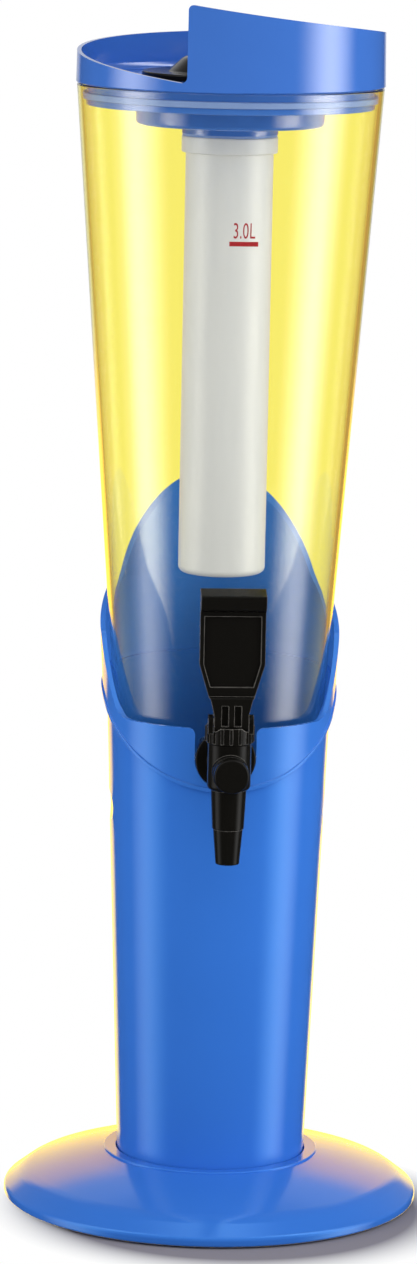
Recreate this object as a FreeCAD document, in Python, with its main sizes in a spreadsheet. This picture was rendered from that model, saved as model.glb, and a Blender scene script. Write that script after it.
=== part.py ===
"""Beer tower dispenser: a stand, a lift-out tank with a lid and an ice tube, and a self-closing tap.

Millimetres. The origin is the middle of the footprint on the table, +Z is up and the tap faces -Y.
A height is measured from the table, a reach is a distance in front of the tower's axis, and a
rise or a drop is measured from the tap's own axis.
"""
import FreeCAD, Part
import math
import os
import re

import Sketcher

# ---------------------------------------------------------------- driving dimensions

SIZES = {
    # Shared small values: edge rounds, the flat left between two rounds that would meet, and how
    # far a cut starts outside the solid.
    "fine_round": 0.6,
    "edge_round": 1,
    "root_round": 2,
    "round_gap": 0.05,
    "overcut": 1,
    # Foot of the stand: a domed shell that stands on rubber pads.
    "base_radius": 110,
    "base_gap": 1.2,
    "base_edge_height": 5.4,
    "base_edge_round": 3,
    "base_roll_width": 11,
    "base_roll_rise": 8.4,
    "base_roll_round": 22,
    "base_rim_width": 28,
    "base_shoulder_rise": 14.2,
    "base_dome_round": 250,
    "base_collar_width": 7.8,
    "base_crown_slope": 0.228,
    "base_collar_rise": 1.2,
    "base_wall": 3,
    "base_hub_lap": 8.5,
    "rib_count": 12,
    "rib_thickness": 2.2,
    "rib_clearance": 2.4,
    "pad_count": 6,
    "pad_radius": 7.6,
    "pad_thickness": 3,
    "pad_inset": 14,
    "pad_recess": 0.6,
    "pad_rim": 1.6,
    "screw_count": 4,
    "screw_radius": 1.6,
    "screw_length": 15,
    "screw_head_radius": 3.4,
    "screw_head_height": 2.2,
    "screw_inset": 6.7,
    "screw_boss_wall": 2.6,
    "screw_play": 0.05,
    # Column: a flared shell that stands in the foot's socket.
    "column_foot_height": 9,
    "column_foot_radius": 49.2,
    "column_flare": 0.0371,
    "column_wall": 2,
    "column_play": 0.3,
    "grip_drop": 14.7,
    "grip_round": 30,
    "grip_depth": 1.2,
    "seat_height": 225.7,
    "seat_thickness": 3,
    "seat_ledge": 4.5,
    "seat_play": 0.4,
    "seat_opening": 22,
    # Tank holder: a sleeve with a low front and a tall back, cut along a raked line at its foot.
    "holder_wall": 1.5,
    "holder_peak_play": 0.79,
    "holder_front_lap": 0.5,
    "holder_front_rise": 4.3,
    "holder_rake": 0.773,
    "holder_back_rise": 47,
    "holder_bend_round": 40,
    "holder_play": 0.1,
    "holder_lap": 9,
    "holder_thin_rise": 75,
    "holder_back_wall": 2.2,
    "bead_rise": 0.8,
    "bead_height": 2.3,
    "bead_round": 0.4,
    "notch_depth": 16,
    "rim_corner_reach": 28,
    "rim_corner_round": 14,
    "rim_side_reach": 4,
    "rim_side_rise": 39.5,
    "rim_side_round": 20,
    "rim_back_reach": 32,
    "rim_back_rise": 25.5,
    "rim_back_round": 30,
    "rim_peak_reach": 66,
    "rim_peak_rise": 52,
    "notch_play": 0.4,
    "notch_mouth_round": 3.5,
    # Tank: a clear cone with a flat boss for the tap.
    "tank_gap": 0.3,
    "tank_play": 2.84,
    "tank_foot_round": 5,
    "tank_length": 366.4,
    "tank_spread": 27.4,
    "tank_wall": 2.5,
    "tank_floor": 3,
    "tank_boss_inset": 1,
    "tank_boss_rise": 1.425,
    "tank_boss_depth": 7,
    "shank_play": 0.3,
    # Lid: a ring with a spiral rim, a skirt, a well and the spigot that holds the ice tube.
    "lid_gap": 0.4,
    "lid_lap": 0.4,
    "lid_draft": 0.8,
    "lid_wall": 2.2,
    "lid_floor_rise": 3.2,
    "lid_floor": 2.7,
    "lid_corner_round": 4,
    "rim_foot_rise": 1,
    "rim_fall": 40,
    "rim_wave": 4.5,
    "rim_spans": 12,
    "rim_step_angle": -110,
    "rim_step_round": 2.5,
    "rim_step_corner": 3,
    "skirt_play": 2.3,
    "skirt_wall": 2.2,
    "skirt_length": 11.1,
    "lid_gasket_drop": 7.8,
    "lid_gasket_depth": 3.4,
    "lid_gasket_play": 0.1,
    "well_radius": 49.2,
    "well_wall": 2.4,
    "well_depth": 20.9,
    "well_rib_count": 8,
    "well_rib_depth": 3.4,
    "spigot_wall": 2.7,
    "spigot_length": 4.4,
    "tube_neck_step": 0.4,
    # Ice tube and its cap.
    "tube_radius": 22.8,
    "tube_wall": 1.8,
    "tube_length": 230.2,
    "tube_foot_round": 3.5,
    "tube_collar_inset": 0.1,
    "tube_collar_depth": 9.8,
    "tube_neck_play": 0.08,
    "tube_gasket_thickness": 1.2,
    "tube_gasket_inset": 0.3,
    "cap_play": 0.6,
    "cap_rise": 3.2,
    "cap_thickness": 4.8,
    "cap_skirt_play": 0.8,
    "cap_skirt_length": 13.2,
    "cap_skirt_wall": 2,
    "knob_foot_radius": 33,
    "knob_shoulder_radius": 24.7,
    "knob_shoulder_rise": 7.3,
    "knob_round": 6,
    "knob_top_rise": 2.5,
    "knob_dish_radius": 15,
    "knob_dish_depth": 2,
    # Tap: shank and barrel on a level axis, chamber and spout on an upright one.
    "tap_rise": 22,
    "tap_offset": 30.53,
    "shank_radius": 8.7,
    "shank_end": 11.6,
    "flange_radius": 15.6,
    "flange_thickness": 3.4,
    "barrel_radius": 9.4,
    "barrel_bore": 5.5,
    "barrel_end": 15,
    "chamber_radius": 11.2,
    "chamber_bore": 7.8,
    "chamber_drop": 10.5,
    "chamber_rise": 14,
    "chamber_round": 2.5,
    "seat_drop": 7.5,
    "neck_radius": 9.6,
    "neck_length": 2.5,
    "spout_radius": 9.2,
    "spout_drop": 31,
    "spout_end_radius": 8.2,
    "outlet_bore": 4.8,
    "socket_bore": 6.6,
    "socket_depth": 7,
    "socket_play": 0.05,
    "nozzle_radius": 7.7,
    "nozzle_drop": 49.4,
    "nozzle_end_radius": 6.15,
    "front_cap_radius": 9,
    "front_cap_thickness": 6.5,
    "front_cap_round": 1.5,
    "front_cap_plug": 5,
    "bonnet_radius": 12,
    "bonnet_lip": 4.5,
    "bonnet_lip_drop": 1.5,
    "bonnet_headroom": 3.5,
    "bonnet_floor": 3,
    "bonnet_rib_count": 16,
    "bonnet_rib_width": 1.6,
    "bonnet_rib_depth": 0.8,
    "ear_play": 0.6,
    "ear_thickness": 2.5,
    "ear_radius": 3.6,
    "hub_play": 0.4,
    "pivot_offset": 5.5,
    "pin_radius": 1.6,
    "pin_play": 0.06,
    "stem_radius": 1.7,
    "stem_play": 0.1,
    "stem_drop": 4,
    "stem_head_radius": 3.1,
    "stem_head_thickness": 2,
    "stem_head_drop": 1.4,
    "stem_flange_radius": 6.4,
    "stem_flange_thickness": 1.5,
    "plunger_play": 0.6,
    "plunger_top_drop": 1.2,
    "plunger_gap": 0.2,
    "plunger_round": 1.6,
    "seal_radius": 0.8,
    "seal_play": 0.05,
    "spring_radius": 4.9,
    "spring_wire": 0.5,
    "spring_turns": 6,
    "spring_play": 0.15,
    # Tap lever, measured from its pivot.
    "lever_hub_radius": 5.6,
    "lever_width": 33.6,
    "lever_neck_width": 17.7,
    "lever_throat_width": 21.6,
    "lever_neck_rise": 4,
    "lever_throat_rise": 12,
    "lever_waist_width": 23.6,
    "lever_waist_rise": 13.2,
    "lever_shoulder_rise": 29.9,
    "lever_rise": 68.9,
    "hub_back_rise": 8,
    "blade_back_rise": 15,
    "blade_front_rise": 13.4,
    "ledge_slope": 0.6,
    "lever_front": 3.5,
    "lever_thickness": 5.5,
    "lever_round": 1,
    "shoulder_round": 3,
    "lip_slope": 3.1,
    "lip_height": 7.2,
    "lip_lean": 0.8,
    "lip_depth": 5,
    "panel_border": 2.2,
    "panel_foot": 5,
    "panel_depth": 1,
    "pocket_rib": 3,
    "pocket_width": 3.6,
    "pocket_depth": 1.6,
    "fork_rise": 3.8,
    "fork_opening": 7.4,
    "fork_slot": 4.2,
    "fork_gap": 0.3,
    "pin_wall": 0.8,
    # Washers and nut that clamp the tap to the tank.
    "washer_inset": 1.2,
    "washer_thickness": 2,
    "nut_radius": 14,
    "nut_thickness": 7,
    "nut_play": 0.05,
}
# Sizes that follow from others, so that pieces keep together when one of them changes.
FOLLOWING = {
    "base_shoulder_radius": "base_radius - base_rim_width",
    "base_shoulder_height": "base_edge_height + base_shoulder_rise",
    "pad_ring_radius": "base_radius - pad_inset",
    "base_collar_radius": "column_foot_radius + base_collar_width",
    "base_collar_height": (
        "base_shoulder_height + base_crown_slope * (base_shoulder_radius - base_collar_radius) + "
        "base_collar_rise"
    ),
    "screw_ring_radius": "column_foot_radius - screw_inset",
    "base_hub_opening": "screw_ring_radius - base_hub_lap",
    "grip_height": "seat_height - grip_drop",
    "tank_foot_height": "seat_height + tank_gap",
    "tank_rim_height": "tank_foot_height + tank_length",
    "tank_foot_radius": (
        "column_foot_radius + column_flare * (seat_height - column_foot_height) - "
        "column_wall - tank_play"
    ),
    "tank_rim_radius": "tank_foot_radius + tank_spread",
    "tap_height": "tank_foot_height + tap_rise",
    "tank_boss_outer_reach": "tank_foot_radius + tank_spread * tap_rise / tank_length + tank_boss_rise",
    "tank_boss_inner_reach": "tank_boss_outer_reach - tank_boss_depth",
    "tap_reach": "tank_boss_outer_reach + tap_offset",
    "shank_inner_reach": "tank_boss_inner_reach - shank_end",
    "barrel_front_reach": "tap_reach + barrel_end",
    "tank_boss_radius": "flange_radius - tank_boss_inset",
    "washer_radius": "flange_radius - washer_inset",
    "notch_radius": "flange_radius + notch_play",
    "holder_front_height": "seat_height + holder_front_rise",
    "holder_back_height": "holder_front_height + holder_back_rise",
    "holder_thin_height": "holder_front_height + holder_thin_rise",
    "holder_foot_radius": (
        "column_foot_radius + column_flare * (holder_front_height - column_foot_height) + "
        "holder_play + holder_wall"
    ),
    "holder_front_reach": "holder_foot_radius + holder_front_lap",
    "rim_front_height": "tap_height + notch_depth",
    "rim_side_height": "rim_front_height + rim_side_rise",
    "rim_back_height": "rim_side_height + rim_back_rise",
    "rim_peak_height": "rim_back_height + rim_peak_rise",
    "holder_peak_radius": (
        "tank_foot_radius + tank_spread * (rim_peak_height - tank_foot_height) / tank_length + "
        "holder_peak_play + holder_back_wall"
    ),
    "holder_flare": "(holder_peak_radius - holder_foot_radius) / (rim_peak_height - holder_front_height)",
    "lid_height": "tank_rim_height + lid_gap",
    "lid_radius": "tank_rim_radius + lid_lap",
    "lid_floor_height": "lid_height + lid_floor_rise",
    "rim_top_height": "lid_floor_height + rim_foot_rise + rim_fall",
    "skirt_radius": "tank_rim_radius - tank_wall - skirt_play",
    "skirt_height": "lid_height - skirt_length",
    "lid_gasket_height": "lid_height - lid_gasket_drop",
    "well_height": "lid_height - well_depth",
    "spigot_height": "well_height - spigot_length",
    "spigot_bore": "tube_radius - tube_neck_step",
    "spigot_radius": "spigot_bore + spigot_wall",
    "tube_height": "spigot_height - tube_length",
    "tube_collar_radius": "spigot_radius - tube_collar_inset",
    "tube_collar_height": "spigot_height - tube_collar_depth",
    "cap_radius": "well_radius - well_wall - cap_play",
    "cap_height": "lid_floor_height + cap_rise",
    "cap_skirt_radius": "well_radius - well_wall - well_rib_depth - cap_skirt_play",
    "cap_skirt_height": "cap_height - cap_skirt_length",
    "knob_shoulder_height": "cap_height + knob_shoulder_rise",
    "knob_top_height": "knob_shoulder_height + knob_top_rise",
    "neck_rise": "chamber_rise + neck_length",
    "bonnet_floor_rise": "neck_rise + bonnet_headroom",
    "bonnet_rise": "bonnet_floor_rise + bonnet_lip",
    "pivot_rise": "bonnet_floor_rise + lever_hub_radius + hub_play",
    "ear_gap": "lever_neck_width + ear_play",
    "plunger_radius": "chamber_bore - plunger_play",
}

doc = FreeCAD.newDocument("BeerTower")
sheet = doc.addObject("Spreadsheet::Sheet", "Sizes")
for row, (alias, number) in enumerate(SIZES.items(), start=1):
    sheet.set(f"A{row}", alias)
    sheet.set(f"B{row}", str(number))
    sheet.setAlias(f"B{row}", alias)
for row, (alias, formula) in enumerate(FOLLOWING.items(), start=len(SIZES) + 1):
    sheet.set(f"A{row}", alias)
    sheet.set(f"B{row}", f"={formula}")
    sheet.setAlias(f"B{row}", alias)
doc.recompute()

# ---------------------------------------------------------------- drawing helpers


def value(text):
    """Number that a formula of the sheet's sizes stands for."""
    return float(sheet.evalExpression(str(text)))


def bind(item, field, text):
    """Tie a property of an object to a formula of the sheet's sizes."""
    def from_sheet(match):
        known = match.group() in SIZES or match.group() in FOLLOWING
        return "Sizes." + match.group() if known else match.group()
    item.setExpression(field, re.sub(r"[a-z_]+", from_sheet, str(text)))


def new_body(label, level=None, reach=None):
    """Empty body, moved up to a level and forward to a reach where they are given."""
    body = doc.addObject("PartDesign::Body", label)
    if level:
        bind(body, "Placement.Base.z", level)
    if reach:
        bind(body, "Placement.Base.y", f"-({reach})")
    return body


def lay_forward(body):
    """Turn a body so that its own +Z points forward."""
    body.Placement = FreeCAD.Placement(FreeCAD.Vector(), FreeCAD.Rotation(FreeCAD.Vector(1, 0, 0), 90))
    bind(body, "Placement.Base.z", "tap_height")


def origin_part(body, role):
    """One of the body's own origin planes or axes."""
    return next(part for part in body.Origin.OriginFeatures if part.Role == role)


def new_sketch(body, plane):
    """Empty sketch on an origin plane of the body."""
    sketch = body.newObject("Sketcher::SketchObject", "Sketch")
    sketch.AttachmentSupport = [(origin_part(body, plane), "")]
    sketch.MapMode = "FlatFace"
    return sketch


def place_point(sketch, geometry, point, across, up):
    """Fix a point of the sketch at two formulas."""
    for kind, axis, text in (("DistanceX", -2, across), ("DistanceY", -1, up)):
        if text == "0":
            sketch.addConstraint(Sketcher.Constraint("PointOnObject", geometry, point, axis))
            continue
        fixed = Sketcher.Constraint(kind, -1, 1, geometry, point, value(text))
        bind(sketch, f"Constraints[{sketch.addConstraint(fixed)}]", text)


def corner_arc(before, corner, after, radius):
    """Where a round leaves the first side and meets the second, and its middle point."""
    towards = (before - corner).normalize()
    away = (after - corner).normalize()
    half = towards.getAngle(away) / 2
    reach = radius / math.tan(half)
    inward = (towards + away).normalize()
    middle = corner + inward * (radius / math.sin(half) - radius)
    return corner + towards * reach, middle, corner + away * reach


def draw_outline(sketch, corners):
    """Closed outline through corners, each (across, up) or (across, up, round) in formulas."""
    spots = [FreeCAD.Vector(value(corner[0]), value(corner[1]), 0) for corner in corners]
    count = len(corners)
    arcs = {}
    for index, corner in enumerate(corners):
        if len(corner) == 3:
            after = spots[(index + 1) % count]
            arcs[index] = corner_arc(spots[index - 1], spots[index], after, value(corner[2]))
    sides = []
    for index in range(count):
        following = (index + 1) % count
        start = arcs[index][2] if index in arcs else spots[index]
        end = arcs[following][0] if following in arcs else spots[following]
        sides.append(sketch.addGeometry(Part.LineSegment(start, end), False))
    for index, corner in enumerate(corners):
        before = sides[index - 1]
        after = sides[index]
        if index not in arcs:
            sketch.addConstraint(Sketcher.Constraint("Coincident", before, 2, after, 1))
            place_point(sketch, after, 1, corner[0], corner[1])
            continue
        mark = sketch.addGeometry(Part.Point(spots[index]), True)
        arc = sketch.addGeometry(Part.Arc(*arcs[index]), False)
        first = spots[index] - spots[index - 1]
        turns_left = first.cross(spots[(index + 1) % count] - spots[index]).z > 0
        entry, leave = (1, 2) if turns_left else (2, 1)
        sketch.addConstraint(Sketcher.Constraint("Tangent", before, 2, arc, entry))
        sketch.addConstraint(Sketcher.Constraint("Tangent", arc, leave, after, 1))
        sketch.addConstraint(Sketcher.Constraint("PointOnObject", mark, 1, before))
        sketch.addConstraint(Sketcher.Constraint("PointOnObject", mark, 1, after))
        place_point(sketch, mark, 1, corner[0], corner[1])
        rounded = sketch.addConstraint(Sketcher.Constraint("Radius", arc, value(corner[2])))
        bind(sketch, f"Constraints[{rounded}]", corner[2])


def draw_circle(sketch, across, up, radius):
    """Circle with its centre and radius given in formulas."""
    spot = FreeCAD.Vector(value(across), value(up), 0)
    circle = sketch.addGeometry(Part.Circle(spot, FreeCAD.Vector(0, 0, 1), value(radius)), False)
    place_point(sketch, circle, 3, across, up)
    rounded = sketch.addConstraint(Sketcher.Constraint("Radius", circle, value(radius)))
    bind(sketch, f"Constraints[{rounded}]", radius)


def turned(body, corners, kind="PartDesign::Revolution", plane="XZ_Plane", axis="V_Axis"):
    """Turned form, added or cut away, from an outline of (radius, height) corners."""
    sketch = new_sketch(body, plane)
    draw_outline(sketch, corners)
    feature = body.newObject(kind, "Turned")
    feature.Profile = sketch
    feature.ReferenceAxis = (sketch, [axis])
    feature.Angle = 360
    return feature


def extruded(body, sketch, length=None, kind="PartDesign::Pad", both=False, backward=False):
    """Pad or pocket of a sketch, through everything where no length is given."""
    feature = body.newObject(kind, "Extruded")
    feature.Profile = sketch
    feature.Midplane = both
    feature.Reversed = backward
    if length:
        bind(feature, "Length", length)
    else:
        feature.Type = "ThroughAll"
    return feature


def repeated(body, features, count):
    """Copies of features, evenly spaced round the body's Z axis."""
    pattern = body.newObject("PartDesign::PolarPattern", "Repeated")
    pattern.Originals = features
    pattern.Axis = (origin_part(body, "Z_Axis"), [""])
    pattern.Angle = 360
    bind(pattern, "Occurrences", count)
    body.Tip = pattern
    return pattern


def column_radius(height):
    """Formula of the column's outer radius at a height."""
    return f"(column_foot_radius + column_flare * ({height} - column_foot_height))"


def holder_radius(height):
    """Formula of the tank holder's outer radius at a height."""
    return f"(holder_foot_radius + holder_flare * ({height} - holder_front_height))"


def tank_radius(height):
    """Formula of the tank's outer radius at a height."""
    taper = "(tank_rim_radius - tank_foot_radius) / (tank_rim_height - tank_foot_height)"
    return f"(tank_foot_radius + {taper} * ({height} - tank_foot_height))"


# ---------------------------------------------------------------- stand


def make_base_foot():
    """Domed shell with a raised collar, a socket for the column, radial ribs and pad bosses."""
    body = new_body("base_foot")
    socket = f"({column_radius('base_collar_height')} + column_play)"
    hub = f"({socket} + base_wall)"
    floor = "column_foot_height - base_wall"
    middle = "base_wall / 2"
    turned(body, [
        ("base_radius", "base_gap", "edge_round"),
        ("base_radius", "base_edge_height", "base_edge_round"),
        ("base_radius - base_roll_width", "base_edge_height + base_roll_rise", "base_roll_round"),
        ("base_shoulder_radius", "base_shoulder_height", "base_dome_round"),
        ("base_collar_radius", "base_collar_height - base_collar_rise"),
        ("base_collar_radius", "base_collar_height", "fine_round"),
        (socket, "base_collar_height", "edge_round"),
        (socket, "column_foot_height"),
        ("base_hub_opening", "column_foot_height"),
        ("base_hub_opening", floor),
        (hub, floor),
        (hub, "base_collar_height - base_wall - base_collar_rise"),
        ("base_shoulder_radius", "base_shoulder_height - base_wall", "base_dome_round / 2"),
        (f"base_radius - base_roll_width - {middle}", "base_edge_height + base_roll_rise - base_wall",
         "base_roll_round - base_wall"),
        ("base_radius - base_wall", "base_edge_height - base_wall"),
        ("base_radius - base_wall", "base_gap"),
    ])
    rib_sketch = new_sketch(body, "XZ_Plane")
    draw_outline(rib_sketch, [
        (f"{hub} - {middle}", "base_gap + rib_clearance"),
        (f"base_radius - {middle}", "base_gap + rib_clearance"),
        (f"base_radius - {middle}", "base_edge_height - edge_round / 2"),
        (f"base_radius - base_roll_width - {middle} / 2", f"base_edge_height + base_roll_rise - {middle}"),
        ("base_shoulder_radius", f"base_shoulder_height - {middle}"),
        (f"{hub} - {middle}", f"base_collar_height - base_collar_rise - {middle}"),
    ])
    rib = extruded(body, rib_sketch, "rib_thickness", both=True)
    repeated(body, [rib], "rib_count")
    boss_sketch = new_sketch(body, "XY_Plane")
    bind(boss_sketch, "AttachmentOffset.Base.z", "pad_thickness - pad_recess")
    draw_circle(boss_sketch, "pad_ring_radius", "0", "pad_radius + pad_rim")
    boss = extruded(body, boss_sketch, "base_edge_height - pad_recess / 2")
    repeated(body, [boss], "pad_count")
    recess_sketch = new_sketch(body, "XY_Plane")
    draw_circle(recess_sketch, "pad_ring_radius", "0", "pad_radius + screw_play")
    recess = extruded(body, recess_sketch, "pad_thickness", "PartDesign::Pocket", backward=True)
    repeated(body, [recess], "pad_count")
    hole_sketch = new_sketch(body, "XY_Plane")
    draw_circle(hole_sketch, "screw_ring_radius", "0", "screw_radius + screw_play")
    hole = extruded(body, hole_sketch, "column_foot_height", "PartDesign::Pocket", backward=True)
    repeated(body, [hole], "screw_count")
    return body


def make_foot_pads():
    """Rubber discs, each seated in the recess of its boss."""
    body = new_body("foot_pads")
    body.AllowCompound = True
    sketch = new_sketch(body, "XY_Plane")
    draw_circle(sketch, "pad_ring_radius", "0", "pad_radius")
    pad = extruded(body, sketch, "pad_thickness")
    repeated(body, [pad], "pad_count")
    return body


def split_outline(shift, above):
    """Side outline of all that lies above or below the raked line between column and holder."""
    wide = "2 * holder_front_reach"
    low = f"holder_front_height + {shift} - holder_rake * holder_front_reach"
    bend = "(holder_back_height - holder_front_height) / holder_rake - holder_front_reach"
    level = "2 * rim_peak_height" if above else "0"
    return [
        (f"-{wide}", low),
        (bend, f"holder_back_height + {shift}", "holder_bend_round"),
        (wide, f"holder_back_height + {shift}"),
        (wide, level),
        (f"-{wide}", level),
    ]


def make_column():
    """Flared shell with a foot flange, screw bosses, grip dimples and the ledge of the tank's seat."""
    body = new_body("column")
    top = "(holder_back_height + 2 * holder_lap)"
    ledge = "(seat_height - seat_thickness)"
    bore = f"({column_radius(ledge)} - column_wall)"
    foot = "(column_foot_height + column_wall)"
    turned(body, [
        ("base_hub_opening", "column_foot_height"),
        ("column_foot_radius", "column_foot_height", "edge_round"),
        (column_radius(top), top),
        (f"{column_radius(top)} - column_wall", top),
        (bore, ledge),
        (f"{bore} - seat_ledge", ledge),
        (f"{bore} - seat_ledge", f"{ledge} - column_wall"),
        (f"{column_radius(f'{ledge} - 2 * seat_ledge')} - column_wall", f"{ledge} - 2 * seat_ledge"),
        (f"{column_radius(foot)} - column_wall", foot),
        ("base_hub_opening", foot),
    ])
    split_sketch = new_sketch(body, "YZ_Plane")
    draw_outline(split_sketch, split_outline("holder_lap", True))
    extruded(body, split_sketch, kind="PartDesign::Pocket", both=True)
    cut_notch(body)
    grip_sketch = new_sketch(body, "XZ_Plane")
    grip_centre = f"{column_radius('grip_height')} + grip_round - grip_depth"
    draw_circle(grip_sketch, grip_centre, "grip_height", "grip_round")
    draw_circle(grip_sketch, f"-({grip_centre})", "grip_height", "grip_round")
    extruded(body, grip_sketch, kind="PartDesign::Pocket", both=True)
    boss_sketch = new_sketch(body, "XY_Plane")
    bind(boss_sketch, "AttachmentOffset.Base.z", foot)
    draw_circle(boss_sketch, "screw_ring_radius", "0", "screw_radius + screw_boss_wall")
    boss = extruded(body, boss_sketch, "screw_length - column_wall + screw_radius")
    repeated(body, [boss], "screw_count")
    hole_sketch = new_sketch(body, "XY_Plane")
    bind(hole_sketch, "AttachmentOffset.Base.z", "column_foot_height")
    draw_circle(hole_sketch, "screw_ring_radius", "0", "screw_radius + screw_play")
    hole = extruded(body, hole_sketch, "screw_length - base_wall", "PartDesign::Pocket", backward=True)
    repeated(body, [hole], "screw_count")
    return body


def cut_notch(body):
    """Slot in the front, open at the top, that lets the tap's flange down with the tank."""
    sketch = new_sketch(body, "XZ_Plane")
    high = "2 * rim_front_height"
    mouth = "(notch_radius + 2 * notch_mouth_round)"
    low = "tap_height - notch_radius"
    half_round = "notch_radius - round_gap"
    draw_outline(sketch, [
        ("notch_radius", low, half_round),
        ("notch_radius", "rim_front_height", "notch_mouth_round"),
        (mouth, "rim_front_height"),
        (mouth, high),
        (f"-{mouth}", high),
        (f"-{mouth}", "rim_front_height"),
        ("-notch_radius", "rim_front_height", "notch_mouth_round"),
        ("-notch_radius", low, half_round),
    ])
    return extruded(body, sketch, "2 * holder_front_reach", "PartDesign::Pocket", backward=True)


def make_column_screws():
    """Pan-head screws that come up through the foot's hub into the column's bosses."""
    body = new_body("column_screws")
    body.AllowCompound = True
    floor = "(column_foot_height - base_wall)"
    head_sketch = new_sketch(body, "XY_Plane")
    bind(head_sketch, "AttachmentOffset.Base.z", f"{floor} - screw_head_height")
    draw_circle(head_sketch, "screw_ring_radius", "0", "screw_head_radius")
    head = extruded(body, head_sketch, "screw_head_height")
    shank_sketch = new_sketch(body, "XY_Plane")
    bind(shank_sketch, "AttachmentOffset.Base.z", f"{floor} - screw_head_height / 2")
    draw_circle(shank_sketch, "screw_ring_radius", "0", "screw_radius")
    shank = extruded(body, shank_sketch, "screw_length - base_wall + screw_head_height / 2")
    repeated(body, [head, shank], "screw_count")
    return body


def make_tank_seat():
    """Plate on the column's ledge that carries the tank."""
    body = new_body("tank_seat")
    ledge = "(seat_height - seat_thickness)"
    edge = f"{column_radius(ledge)} - column_wall - seat_play"
    turned(body, [
        ("seat_opening", ledge),
        (edge, ledge),
        (edge, "seat_height", "fine_round"),
        ("seat_opening", "seat_height", "fine_round"),
    ])
    return body


def edges_where(shape, chosen):
    """Names of the edges whose middle point passes a test."""
    names = []
    for number, edge in enumerate(shape.Edges, start=1):
        first, last = edge.ParameterRange
        if chosen(edge.valueAt((first + last) / 2)):
            names.append(f"Edge{number}")
    return names


def is_outside(spot, foot_radius):
    """True on the cone that runs up through a radius at the holder's foot."""
    cone = foot_radius + value("holder_flare") * (spot.z - value("holder_front_height"))
    return abs(math.hypot(spot.x, spot.y) - cone) < 0.01


def make_tank_holder():
    """Sleeve with a beaded raked foot, a low front, a notch for the tap and a tall back."""
    low = "(holder_front_height - holder_lap)"
    high = "(rim_peak_height + holder_lap)"
    inner_foot = f"{column_radius(low)} + holder_play"
    inner_bend = f"{column_radius('holder_thin_height')} + holder_play"
    inner_top = f"{holder_radius(high)} - holder_back_wall"
    shell = new_body("holder_shell")
    turned(shell, [
        (holder_radius(low), low),
        (holder_radius(high), high),
        (inner_top, high),
        (inner_bend, "holder_thin_height"),
        (inner_foot, low),
    ])
    foot_sketch = new_sketch(shell, "YZ_Plane")
    draw_outline(foot_sketch, split_outline("0", False))
    extruded(shell, foot_sketch, kind="PartDesign::Pocket", both=True)
    rim_sketch = new_sketch(shell, "YZ_Plane")
    wide = "2 * rim_peak_reach"
    slope = "(rim_peak_height - rim_back_height) / (rim_peak_reach - rim_back_reach)"
    draw_outline(rim_sketch, [
        (f"-{wide}", "rim_front_height"),
        ("-rim_corner_reach", "rim_front_height", "rim_corner_round"),
        ("-rim_side_reach", "rim_side_height", "rim_side_round"),
        ("rim_back_reach", "rim_back_height", "rim_back_round"),
        (wide, f"rim_back_height + {slope} * ({wide} - rim_back_reach)"),
        (wide, "3 * rim_peak_height"),
        (f"-{wide}", "3 * rim_peak_height"),
    ])
    extruded(shell, rim_sketch, kind="PartDesign::Pocket", both=True)
    cut_notch(shell)
    band = new_body("holder_bead")
    turned(band, [
        (f"{holder_radius(low)} + bead_rise", low),
        (f"{holder_radius(high)} + bead_rise", high),
        (f"{holder_radius(high)} - bead_rise", high),
        (f"{holder_radius(low)} - bead_rise", low),
    ])
    for shift, above in (("0", False), ("bead_height", True)):
        cut_sketch = new_sketch(band, "YZ_Plane")
        draw_outline(cut_sketch, split_outline(shift, above))
        cut = extruded(band, cut_sketch, kind="PartDesign::Pocket", both=True)
    doc.recompute()
    outer = value(f"{holder_radius('holder_front_height')} + bead_rise")
    rounded = band.newObject("PartDesign::Fillet", "Rounded")
    rounded.Base = (cut, edges_where(cut.Shape, lambda spot: is_outside(spot, outer)))
    bind(rounded, "Radius", "bead_round")
    cut_notch(band)
    holder = doc.addObject("Part::Fuse", "tank_holder")
    holder.Base = shell
    holder.Tool = band
    return holder


# ---------------------------------------------------------------- tank, lid and ice tube


def make_tank():
    """Clear cone with a closed foot and a flat boss, bored for the tap's shank."""
    body = new_body("tank")
    foot = "(tank_foot_height + tank_floor)"
    turned(body, [
        ("0", "tank_foot_height"),
        ("tank_foot_radius", "tank_foot_height", "tank_foot_round"),
        ("tank_rim_radius", "tank_rim_height", "edge_round"),
        ("tank_rim_radius - tank_wall", "tank_rim_height", "edge_round"),
        (f"{tank_radius(foot)} - tank_wall", foot, "tank_foot_round - tank_wall / 2"),
        ("0", foot),
    ])
    boss_sketch = new_sketch(body, "XZ_Plane")
    bind(boss_sketch, "AttachmentOffset.Base.z", "tank_boss_inner_reach")
    draw_circle(boss_sketch, "0", "tap_height", "tank_boss_radius")
    extruded(body, boss_sketch, "tank_boss_outer_reach - tank_boss_inner_reach")
    hole_sketch = new_sketch(body, "XZ_Plane")
    draw_circle(hole_sketch, "0", "tap_height", "shank_radius + shank_play")
    extruded(body, hole_sketch, "2 * tank_foot_radius", "PartDesign::Pocket", backward=True)
    return body


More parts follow.
